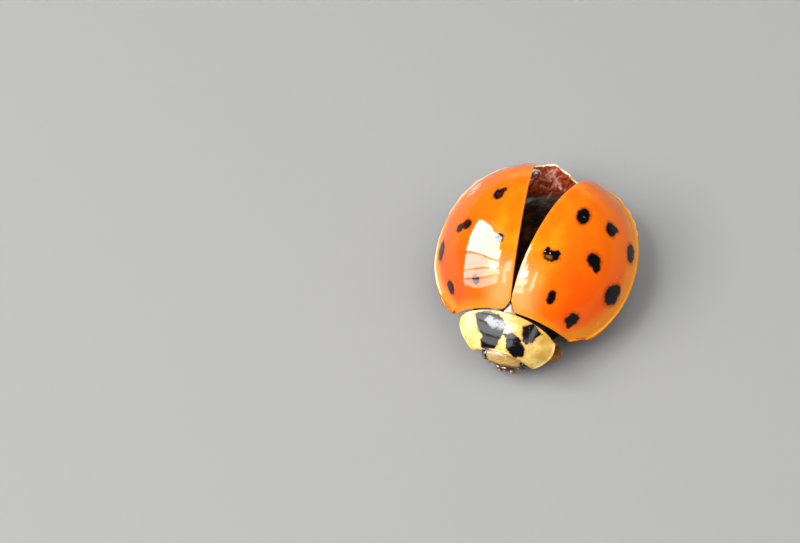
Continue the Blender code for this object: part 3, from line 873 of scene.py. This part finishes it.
collar = {
    "halfWidth": 1.16, "frontY": -2.88, "rearY": -2.20, "rearZ": 1.34, "frontZ": 1.12, "sideRise": 0.58,
    "taper": 0.20, "swell": 0.04, "rearDrop": 0.14, "fallHalfWidth": 1.30, "groove": (0.34, 0.05, 0.03),
}


def collarSpot(along, across):
    half = collar["halfWidth"] * (1 - collar["taper"] * (1 - along) ** 2)
    return math.sin((across - 0.5) * math.pi) * half, mix(collar["frontY"], collar["rearY"], along)


def collarTop(along, across):
    x, y = collarSpot(along, across)
    crown = mix(collar["frontZ"], collar["rearZ"], along) + collar["swell"] * math.sin(along * math.pi)
    crown -= collar["rearDrop"] * smoothStep(along, 0.75, 1.0)
    return x, y, crown * (1 - (abs(x) / collar["fallHalfWidth"]) ** 4) ** 0.5


def collarUnder(along, across):
    x, y = collarSpot(along, across)
    z = body["floorZ"] - 0.9 * keelDepth(x) + hump(abs(x), *collar["groove"])
    return x, y, z + collar["sideRise"] * smoothStep(abs(x), 0.62, collar["halfWidth"])


makePlate("collarShell", 18, 34, (collarTop, collarUnder), blackShell, "dark_shell", "prothorax",
          sharpAngle=50)
print("trunk made")


# Flying wings: thin sheets over the trunk, folded and crumpled where they come out behind it.
wing = {
    "rootY": -1.58, "rootHalf": 0.60, "half": 1.72, "widthEndY": 3.86,   # mm
    "tailY": 3.85, "leftTailY": 3.18, "tailHalf": 1.40, "tailLift": {"right": 0.15, "left": 0.02},
    "crumple": 0.10, "crumpleScale": 2.1, "creaseHeight": 0.045, "hemBead": 0.015,
    "sink": 0.02, "underLeft": 0.02, "thickness": 0.022, "rows": 150, "columns": 60,
    "layers": ((0.0, 0.0), (0.13, 0.16), (0.26, 0.30)),   # mm down, mm shorter at the tail
}
wingSkirt = {
    "start": {"right": 1.35, "left": 2.30}, "end": 3.43, "in": -0.10, "out": {"right": 0.05, "left": 0.02},
    "thickness": 0.02,
}
# Creases of the right wing's tail, in mm seen from above.
wingCreases = [
    ((-0.76, 3.04), (-0.40, 2.93)), ((-0.40, 2.93), (-0.33, 3.28)), ((-0.33, 3.28), (-0.16, 3.54)),
    ((-0.70, 3.46), (-0.52, 3.62)), ((-0.48, 3.38), (-0.36, 3.72)), ((-0.88, 3.30), (-0.60, 3.26)),
    ((-0.22, 2.30), (-0.30, 2.86)),
]


def creaseAt(side, layer, x, y):
    if side == "left" or layer > 0:
        return 0.0
    width = 0.034 + 0.012 * math.sin(9 * x + 7 * y)
    return hump(min(toStretch(x, y, *ends) for ends in wingCreases), 0.0, width)


def ridged(x, y, seed):
    scale = wing["crumpleScale"]
    value = noise.noise(Vector((x * scale, y * scale * 0.8, seed)))
    finer = noise.noise(Vector((x * scale * 2.3, y * scale * 1.7, seed + 7)))
    return 1.6 * (0.5 - abs(value)) - 0.4 + 0.5 * (0.5 - abs(finer))


# How far back a sheet reaches at a place across the body: the right wing's far, the left wing's less.
def tailEdge(side, layer, x):
    edge = mix(wing["tailY"], wing["leftTailY"], smoothStep(x, -0.55, 1.05))
    edge += 0.02 * math.sin(7 * x)
    if side == "left":
        edge = min(edge, 3.62 - 0.35 * x)
    outer = 0.10 * smoothStep(abs(x), 0.9, 1.5)
    return edge - outer - wing["layers"][layer][1] * (1 + 0.25 * math.sin(5 * x + 2 * layer))


def sheetSpot(side, layer):
    down = wing["layers"][layer][0]
    sign = signOf[side]

    def spotAt(along, across):
        share = -0.09 + 1.09 * across
        tailY = tailEdge(side, layer, sign * wing["tailHalf"] * share)
        y = mix(wing["rootY"], tailY, eased(along) * 0.4 + along * 0.6)
        reach = (y - wing["rootY"]) / (wing["widthEndY"] - wing["rootY"])
        widen = math.sin(math.pi * min(1.0, reach) ** 0.9) ** 0.7 if reach < 1 else 0.0
        half = mix(wing["rootHalf"], wing["half"], widen)
        half = max(half, wing["tailHalf"] * smoothStep(y, 2.4, 3.2))
        x = sign * half * share
        lift = wing["tailLift"][side] * smoothStep(y, 2.7, 3.6) * hump(abs(x), 0.65, 0.6)
        tail = smoothStep(y, 2.35, 3.35)
        crumple = wing["crumple"] * (0.30 + 0.70 * tail) * ridged(x, y, 3 * layer + sign)
        crease = wing["creaseHeight"] * creaseAt(side, layer, x, y)
        bead = wing["hemBead"] * smoothStep(along, 0.985, 1.0)
        z = foldHeight(x, y) - wing["sink"] + lift + crumple + crease + bead
        z -= down * (0.35 + 0.65 * tail)
        if side == "right" and x > 0:
            z -= wing["underLeft"]
        return x, y, z

    return spotAt


def wingFinish():
    material, tree = startFinish(
        "wingMembrane", Roughness=0.4, Specular_IOR_Level=0.05, Coat_Weight=0.6, Coat_Roughness=0.08,
        glow=(0.1, (1.0, 0.3, 0.1), 0.05),
    )
    place = readPlace(tree)
    x, y, z = splitOf(place)
    cloud = noiseOf(place, 2.4, 4.0, 0.6)
    fine = noiseOf(place, 11.0, 3.0, 0.6)
    tail = ramp(calc("ADD", y, times(calc("SUBTRACT", cloud, 0.5), 1.6)), 2.35, 2.95)
    # Near black in front: partly the membrane over the dark abdomen, partly painted shade of the gap
    # between the wing cases.
    brown = blendColour(ramp(cloud, 0.45, 0.7), (0.012, 0.006, 0.004, 1), (0.060, 0.020, 0.008, 1))
    red = blendColour(ramp(fine, 0.35, 0.65), (0.11, 0.010, 0.002, 1), (0.36, 0.045, 0.006, 1))
    colour = paintOver(
        brown, (tail, red),
        (times(ramp(cloud, 0.58, 0.72), tail, 0.45), (0.66, 0.25, 0.12, 1)),
        # Painted highlight: pale pink on the crumple ridges at the tail and on the right wing's creases.
        (times(readShare(tree, "creaseShare"), 0.8), (0.80, 0.40, 0.28, 1)),
        (readShare(tree, "hemShare"), (0.80, 0.55, 0.26, 1)),
    )
    veins = noiseOf(stretched(place, (7.0, 1.6, 1.0)), 1.0, 3.0, 0.6)
    return endFinish(material, colour, calc("ADD", veins, times(fine, 0.5)), 0.050, 0.020)


# The pale edge of the membrane, just outside the hind rim of a wing case; its pale pink colour is partly a
# painted highlight along the rim.
def skirtSpot(along, across, side):
    start, out = wingSkirt["start"][side], wingSkirt["out"][side]
    y = mix(start, wingSkirt["end"], along)
    out = mix(wingSkirt["in"], out, across) * math.sin(math.pi * along) ** 0.5
    out += 0.012 * math.sin(23 * along)
    scale = 1 + out / wingCase["halfWidth"]
    z = 0.03 - 0.05 * across + 0.02 * noise.noise(Vector((9 * y, 3, across)))
    return caseMargin(y) * scale, y * scale, z


def sheetShares(side, layer):
    # Share of the painted highlight on the crumple ridges and creases.
    def creaseShare(place):
        ridges = smoothStep(ridged(place.x, place.y, 3 * layer + signOf[side]), 0.42, 0.70)
        ridges *= 0.55 * smoothStep(place.y, 2.6, 3.2)
        return max(0.45 * creaseAt(side, layer, place.x, place.y), ridges)

    def hemShare(place):
        beyond = place.y - tailEdge(side, layer, place.x)
        return 0.9 * smoothStep(beyond, -0.07, -0.02)

    return {"creaseShare": creaseShare, "hemShare": hemShare}


membrane = wingFinish()
for side in signOf:
    sheets = []
    for layer in range(len(wing["layers"])):
        sheet = addGrid("wingSheet", wing["rows"], wing["columns"], sheetSpot(side, layer))
        keepPlaces(sheet, **sheetShares(side, layer))
        applyModifier(sheet, "SOLIDIFY", thickness=wing["thickness"], offset=-1)
        toFrame(sheet)
        sheets.append(sheet)
    skirt = addGrid("wingSkirt", 60, 4, lambda along, across: skirtSpot(along, across, side))
    # The skirt is painted in the highlight colour all over, with half the hem colour.
    keepPlaces(skirt, creaseShare=lambda place: 1.0, hemShare=lambda place: 0.5)
    applyModifier(skirt, "SOLIDIFY", thickness=wingSkirt["thickness"], offset=0)
    toFrame(skirt, caseSwing(side), side == "right")
    folded = joinPieces([*sheets, skirt], "flyingWing_" + side)
    finishPiece(folded, membrane, "flying_wing", "wing_" + side, sharpAngle=70)
print("flying wings made")


# Head: a capsule tucked under the pronotum, cream on the brow and brown round the mouth.
head = {
    "middle": (0.0, -3.10, 0.14), "radii": (0.75, 0.43, 0.45), "neckY": -2.87,
    "eye": (0.61, -3.17, 0.10), "eyeRadii": (0.19, 0.24, 0.25), "eyeRim": (0.28, 0.05, 0.025),
    # Hollows and swellings of the face: which way, middle and half sizes across and up, height.
    "relief": (
        ("z", (0.42, 0.1), (0.12, 0.3), -0.03), ("y", (0.0, 0.34), (0.4, 0.12), 0.05),
        ("y", (0.0, 0.06), (0.36, 0.08), -0.03), ("y", (0.36, 0.02), (0.05, 0.10), 0.05),
    ),
}


def headFinish():
    material, tree = startFinish(
        "creamHead", Roughness=0.36, Specular_IOR_Level=0.1, Coat_Weight=0.6, Coat_Roughness=0.1,
        glow=(0.12, (1.0, 0.6, 0.3), 0.1),
    )
    place = readPlace(tree)
    x, y, z = splitOf(wobble(place, 6.0, 0.10))
    fine = noiseOf(place, 12.0, 3.0, 0.6)
    aside = calc("ABSOLUTE", x)
    mouthLevel = calc("ADD", z, times(aside, aside, 0.35))
    colour = paintOver(
        blendColour(ramp(fine, 0.35, 0.65), (0.44, 0.25, 0.06, 1), (0.58, 0.38, 0.12, 1)),
        (ramp(mouthLevel, 0.26, 0.18), (0.26, 0.10, 0.03, 1)),
        (ramp(mouthLevel, 0.18, 0.08), (0.030, 0.012, 0.007, 1)),
        (ramp(y, -3.06, -2.98), (0.014, 0.010, 0.009, 1)),
    )
    return endFinish(material, colour, calc("ADD", ramp(cellsOf(place, 14.0), 0.0, 0.3), fine), 0.010)


def eyeMiddle(sign):
    x, y, z = head["eye"]
    return Vector((math.copysign(x, sign), y, z))


bpy.ops.mesh.primitive_uv_sphere_add(segments=72, ring_count=44, radius=1)
capsule = bpy.context.object
rename(capsule, "headCapsule")
for vert in capsule.data.vertices:
    spot = Vector(head["middle"]) + vert.co * Vector(head["radii"])
    frons = max(0.0, -vert.co.y) ** 2
    for axis, *place in head["relief"]:
        raised = frons * swelling(abs(spot.x), spot.z, *place)
        setattr(spot, axis, getattr(spot, axis) + raised)
    fromEye = spot - eyeMiddle(spot.x)
    spot += fromEye.normalized() * hump(fromEye.length, *head["eyeRim"])
    spot.y = min(spot.y, head["neckY"])
    vert.co = spot
keepPlaces(capsule)
toFrame(capsule)
finishPiece(capsule, headFinish(), "face", "head")


# Eyes: a honeycomb of facets, each one a little raised.
def eyeFinish():
    material, tree = startFinish(
        "eyeFacets", Roughness=0.16, Specular_IOR_Level=0.3, Coat_Weight=0.5, Coat_Roughness=0.06,
        Coat_IOR=1.4,
    )
    fine = noiseOf(readObject(tree), 4000)
    colour = blendColour(ramp(fine, 0.35, 0.7), (0.006, 0.005, 0.006, 1), (0.022, 0.014, 0.012, 1))
    return endFinish(material, colour)


facets = eyeFinish()
for side, sign in signOf.items():
    bpy.ops.mesh.primitive_ico_sphere_add(subdivisions=4, radius=1)
    eye = bpy.context.object
    bpy.ops.object.mode_set(mode="EDIT")
    bpy.ops.mesh.select_all(action="SELECT")
    bpy.ops.mesh.bevel(offset_type="PERCENT", offset_pct=33.3, affect="VERTICES", segments=1)
    bpy.ops.mesh.select_all(action="SELECT")
    bpy.ops.mesh.inset(thickness=0.012, depth=0.012, use_individual=True)
    bpy.ops.object.mode_set(mode="OBJECT")
    for vert in eye.data.vertices:
        vert.co = eyeMiddle(sign) + vert.co * Vector(head["eyeRadii"])
    toFrame(eye)
    rename(eye, "compoundEye_" + side)
    finishPiece(eye, facets, "eyes", "eye_" + side, sharpAngle=20)

# Mouthparts: an upper lip, toothed jaws, and palps that end in an axe-shaped joint.
lip = addSpindle((-0.25, -3.51, 0.0), (0.25, -3.51, 0.0), [0.08, 0.10, 0.085, 0.10, 0.08], 0.85, blunt=6.0,
                 sides=24, rings=28)
toFrame(lip)
rename(lip, "upperLip")
finishPiece(lip, mouthShell, "mouthparts", "labrum")


# Joins spindles made for the left side, and mirrors them for the right.
def finishPair(pieces, name, side, material, slotName, *nodes):
    piece = joinPieces(pieces, name)
    toFrame(piece, mirrored=side == "right")
    finishPiece(piece, material, slotName, *nodes)


for side in signOf:
    jaws = [
        addSpindle((0.27, -3.28, -0.18), (0.05, -3.55, -0.23), [0.09, 0.125, 0.10, 0.055, 0.02], 0.85, 0.02,
                   sides=20, rings=22),
        addSpindle((0.20, -3.38, -0.22), (0.05, -3.47, -0.26), [0.07, 0.06, 0.02], 0.8),
    ]
    finishPair(jaws, "jaw_" + side, side, mouthShell, "mouthparts", "mandible_" + side)
    palps = [
        addSpindle((0.15, -3.10, -0.28), (0.17, -3.20, -0.40), [0.05, 0.06, 0.05]),
        addSpindle((0.17, -3.18, -0.39), (0.19, -3.27, -0.49), [0.045, 0.06, 0.055]),
        addSpindle((0.19, -3.26, -0.48), (0.22, -3.38, -0.62), [0.05, 0.08, 0.10, 0.11], 0.5, blunt=12.0),
    ]
    finishPair(palps, "palpJoints_" + side, side, feelerShell, "mouthparts", "palp_" + side)

# Feelers: eleven joints, the last three a flat club, laid back under the side of the pronotum.
feelerPath = [(0.47, -3.38, -0.08), (0.58, -3.35, -0.21), (0.62, -3.25, -0.34), (0.60, -3.12, -0.45),
              (0.55, -3.00, -0.53), (0.48, -2.90, -0.57)]
feelerJoints = [   # length share and greatest half width in mm
    (1.6, 0.062), (0.9, 0.050), (1.2, 0.036), (0.9, 0.033), (0.9, 0.034), (0.8, 0.035), (0.8, 0.038),
    (0.8, 0.043), (1.0, 0.066), (1.0, 0.082), (1.1, 0.078),
]


def alongPath(path, share):
    lengths = [(Vector(end) - Vector(start)).length for start, end in zip(path, path[1:])]
    left = share * sum(lengths)
    for start, end, length in zip(path, path[1:], lengths):
        if left <= length or end == path[-1]:
            return Vector(start).lerp(Vector(end), min(1.0, left / length))
        left -= length


for side in signOf:
    joints = []
    done = 0.0
    whole = sum(length for length, width in feelerJoints)
    for length, width in feelerJoints:
        start, end = (alongPath(feelerPath, share / whole) for share in (done, done + length))
        widths = [width * 0.6, width * 0.9, width]
        joints.append(addSpindle(start.lerp(end, -0.08), end, widths, 0.8, blunt=6.0, sides=12, rings=10))
        done += length
    finishPair(joints, "feelerJoints_" + side, side, feelerShell, "feelers", "antenna_" + side)
print("head made")


# Legs: hip, knee, ankle and toe of each left leg.
legPoints = {
    "fore": ((0.62, -2.62, -0.26), (1.59, -2.71, -0.21), (1.40, -2.10, -0.66), (0.84, -1.68)),
    "mid": ((0.72, -1.20, -0.26), (2.34, -1.06, -0.22), (1.86, -0.36, -0.66), (1.28, 0.06)),
    "hind": ((0.74, -0.10, -0.26), (2.10, 1.02, -0.22), (1.62, 1.78, -0.66), (1.02, 2.24)),
}
foot = {
    "floorZ": -0.95, "padHalf": 0.115, "padLength": 0.26, "lobeAside": 0.075, "clawLength": 0.17,
}


# One foot: two lobed pads flat on the floor, then the slender joint that holds the claws.
def footPieces(ankle, toe):
    run = Vector((toe[0] - ankle.x, toe[1] - ankle.y, 0))
    ahead = run.normalized()
    aside = Vector((-ahead.y, ahead.x, 0))
    start = Vector((ankle.x, ankle.y, foot["floorZ"])) + ahead * 0.02

    # A place so far along the foot, to its side and over the floor.
    def spot(reach, across, rise):
        return start + ahead * reach + aside * across + Vector((0, 0, rise))

    heel = spot(0, 0, ankle.z + 0.02 - foot["floorZ"])
    joints = [addSpindle(heel, spot(0.20, 0, 0.10), [0.06, 0.075, 0.09], 0.8)]
    pads = []
    for reach in (0.10, 0.30):
        for turn in (-1, 1):
            tip = spot(reach + foot["padLength"], turn * foot["lobeAside"], 0.045)
            pad = addSpindle(spot(reach, turn * 0.02, 0.13), tip, [0.05, 0.08, foot["padHalf"], 0.09], 0.62,
                             blunt=4.0)
            for vert in pad.data.vertices:
                vert.co.z = max(vert.co.z, foot["floorZ"])
            pads.append(pad)
    reach = run.length - 0.02
    clawJoint = [0.030, 0.036, 0.048, 0.055]
    joints.append(addSpindle(spot(0.34, 0, 0.13), spot(reach, 0, 0.11), clawJoint, 0.85, 0.02))
    claws = []
    for turn in (-1, 1):
        root = spot(reach - 0.02, turn * 0.022, 0.11)
        bend = root + ahead * foot["clawLength"] * 0.6 + aside * turn * 0.045 + Vector((0, 0, -0.005))
        tip = bend + ahead * foot["clawLength"] * 0.35 + aside * turn * 0.015 + Vector((0, 0, -0.075))
        tooth = root.lerp(bend, 0.55)
        toothTip = tooth + ahead * 0.02 + Vector((0, 0, -0.055))
        claws += [
            addSpindle(root, bend, [0.034, 0.034, 0.026], bow=0.015, sides=12, rings=10),
            addSpindle(root.lerp(bend, 0.9), tip, [0.026, 0.018, 0.006], bow=0.010, sides=12, rings=10),
            addSpindle(tooth, toothTip, [0.026, 0.016, 0.005], sides=10, rings=8),
        ]
    return joints, pads, claws


def thighPieces(hip, knee):
    outward = (knee - hip).normalized()
    return [
        addSpindle(hip - Vector((0.34, 0.02, -0.03)), hip + outward * 0.06, [0.11, 0.17, 0.16, 0.12], 0.9),
        addSpindle(hip - outward * 0.04, hip + outward * 0.30, [0.11, 0.15, 0.15, 0.13], 0.8),
        addSpindle(hip + outward * 0.08, knee, [0.11, 0.19, 0.22, 0.20, 0.16, 0.13], 0.74, 0.03,
                   sides=20, rings=24),
    ]


# A shin with the two spurs at its end.
def shinPieces(knee, ankle):
    down = (ankle - knee).normalized()
    aside = down.cross(Vector((0, 0, 1))).normalized()
    pieces = [addSpindle(knee + down * 0.02, ankle, [0.07, 0.10, 0.115, 0.125, 0.11], 0.8, 0.02,
                         sides=18, rings=20)]
    for turn in (-1, 1):
        spur = ankle - down * 0.06 + aside * turn * 0.06
        pieces.append(addSpindle(spur, spur + down * 0.14, [0.022, 0.014, 0.004], sides=8, rings=8))
    return pieces


for pair, (hip, knee, ankle, toe) in legPoints.items():
    hip, knee, ankle = Vector(hip), Vector(knee), Vector(ankle)
    for side in signOf:
        leg = "_%s_%s" % (pair, side)
        finishPair(thighPieces(hip, knee), "thigh" + leg, side, legShell, "legs", "femur" + leg)
        finishPair(shinPieces(knee, ankle), "shin" + leg, side, legShell, "legs", "tibia" + leg)
        joints, pads, claws = footPieces(ankle, toe)
        finishPair(joints, "footJoints" + leg, side, legShell, "legs", "tarsus" + leg)
        finishPair(pads, "footPads" + leg, side, padHair, "legs")
        finishPair(claws, "claws" + leg, side, clawHorn, "legs")
print("legs made")


# Floor, light and background.
floorShape = {"size": 3.0, "below": 0.01}   # metres, and mm below
bpy.ops.mesh.primitive_plane_add(size=floorShape["size"], location=(0, 0, -floorShape["below"] * mm))
floor = bpy.context.object
floor.name = "floor"
floorFinish = startFinish(
    "paleFloor", Roughness=0.9, Specular_IOR_Level=0.1, Base_Color=(0.26, 0.26, 0.255, 1),
)[0]
floor.data.materials.append(floorFinish)


# A rectangular light at a place given in mm from the trunk. It faces the trunk unless facing says another
# way, and widthAlong says which way its width lies. A soft light has no reflection, and a glint only that.
def addLight(name, place, width, height, watts, soft=False, facing=None, widthAlong=None):
    away = Vector(facing or place).normalized()
    bpy.ops.object.light_add(type="AREA", location=trunk + Vector(place) * mm)
    light = bpy.context.object
    light.name = name
    light.rotation_mode = "QUATERNION"
    light.rotation_quaternion = (-away).to_track_quat("-Z", "Y")
    if widthAlong:
        across = Vector(widthAlong)
        across = (across - away * across.dot(away)).normalized()
        axes = Matrix((across, away.cross(across), away)).transposed()
        light.rotation_quaternion = axes.to_quaternion()
    light.data.shape = "RECTANGLE"
    light.data.size = width * mm
    light.data.size_y = height * mm
    light.data.energy = watts
    light.visible_diffuse = soft
    light.visible_glossy = not soft


# Five panes of a window for the shine on the right wing case, and narrow lights for the other glints.
window = {
    "distance": 120, "facing": (-0.75, -0.21, 0.62), "middle": (-0.959, -0.2685, 0.3473),
    "along": (-0.0562, -0.9224, -0.3809), "aside": (0.653, -0.325, 0.680),
    # shift along and aside, length and width as shares of the distance, watts
    "panes": ((-0.52, 0.34, 0.38, 0.98, 0.80), (-0.21, 0.40, 0.24, 1.08, 0.56),
              (0.07, 0.44, 0.24, 1.12, 0.35), (0.35, 0.45, 0.24, 1.16, 0.32),
              (0.62, 0.42, 0.21, 1.12, 0.18)),
}
for number, (along, aside, length, width, watts) in enumerate(window["panes"]):
    place = Vector(window["middle"]) + Vector(window["along"]) * along + Vector(window["aside"]) * aside
    addLight("windowPane%d" % (number + 1), place * window["distance"], length * window["distance"],
             width * window["distance"], watts, facing=window["facing"], widthAlong=window["along"])
addLight("streakLight", (-9, -79, 90), 9, 66, 0.030)
addLight("shieldGlint", (-47, -66, 88), 20, 27, 0.15)
addLight("keyLight", (-78, -50, 134), 130, 130, 0.44, soft=True)
addLight("fillLight", (95, -10, 180), 180, 180, 0.36, soft=True)

world = bpy.data.worlds.new("studio")
bpy.context.scene.world = world
world.use_nodes = True
setSockets(world.node_tree.nodes["Background"], {"Color": (0.80, 0.84, 0.90, 1), "Strength": 0.12})
bpy.context.scene.view_settings.view_transform = "Standard"
print("lights set")
